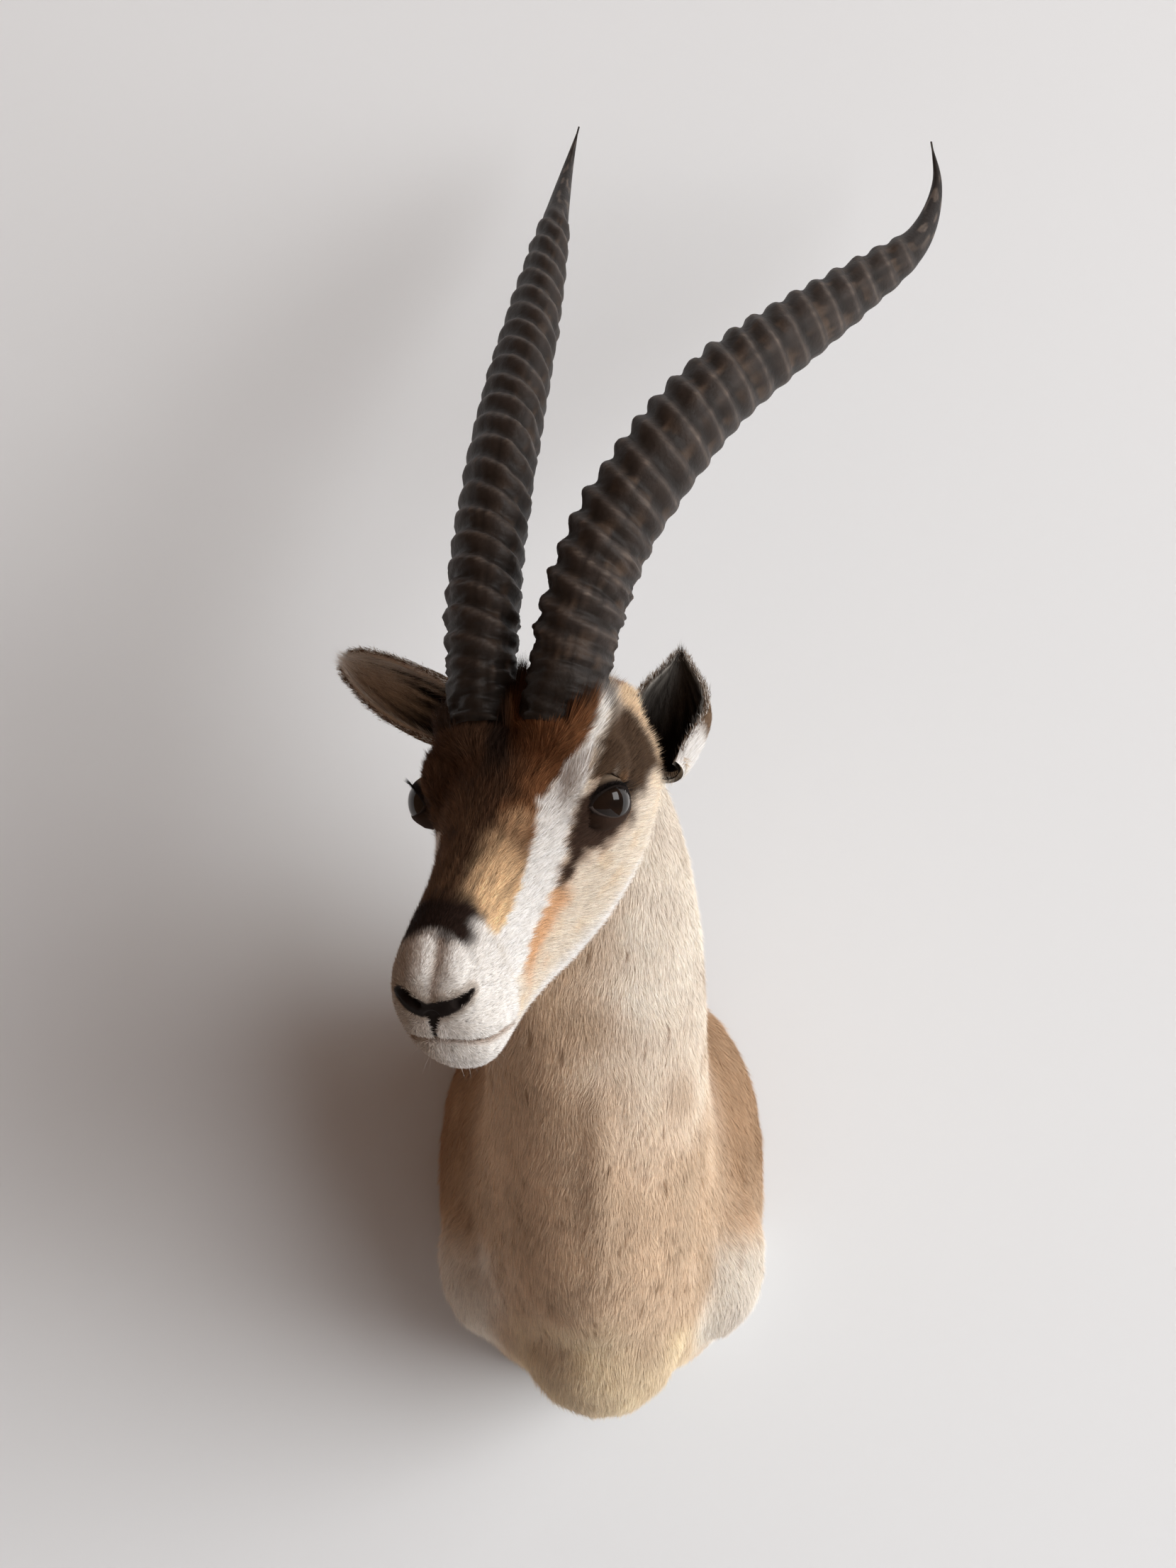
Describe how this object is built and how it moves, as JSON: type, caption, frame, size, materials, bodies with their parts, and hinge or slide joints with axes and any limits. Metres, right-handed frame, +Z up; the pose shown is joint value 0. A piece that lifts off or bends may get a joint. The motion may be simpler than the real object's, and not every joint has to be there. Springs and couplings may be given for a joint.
{
  "type": "gazelle shoulder mount",
  "caption": "Taxidermy shoulder mount of a gazelle with long ringed horns, a striped face, a fawn neck and a flat back that sits flush on a wall.",
  "frame": {"origin": "middle of the flat back, in the plane of the wall", "axes": "+Y into the wall, +Z up, +X to the animal's left; the animal faces -Y"},
  "size_m": [0.3846, 0.5185, 0.8439],
  "materials": {
    "hide": "short fur",
    "horn": "ringed horn, satin",
    "eye": "polished dark glass",
    "board": "plain plywood"
  },
  "bodies": {
    "root": {"hide": "hide", "horn_left": "horn", "horn_right": "horn", "eye_left": "eye", "eye_right": "eye", "backboard": "board"}
  },
  "joints": []
}
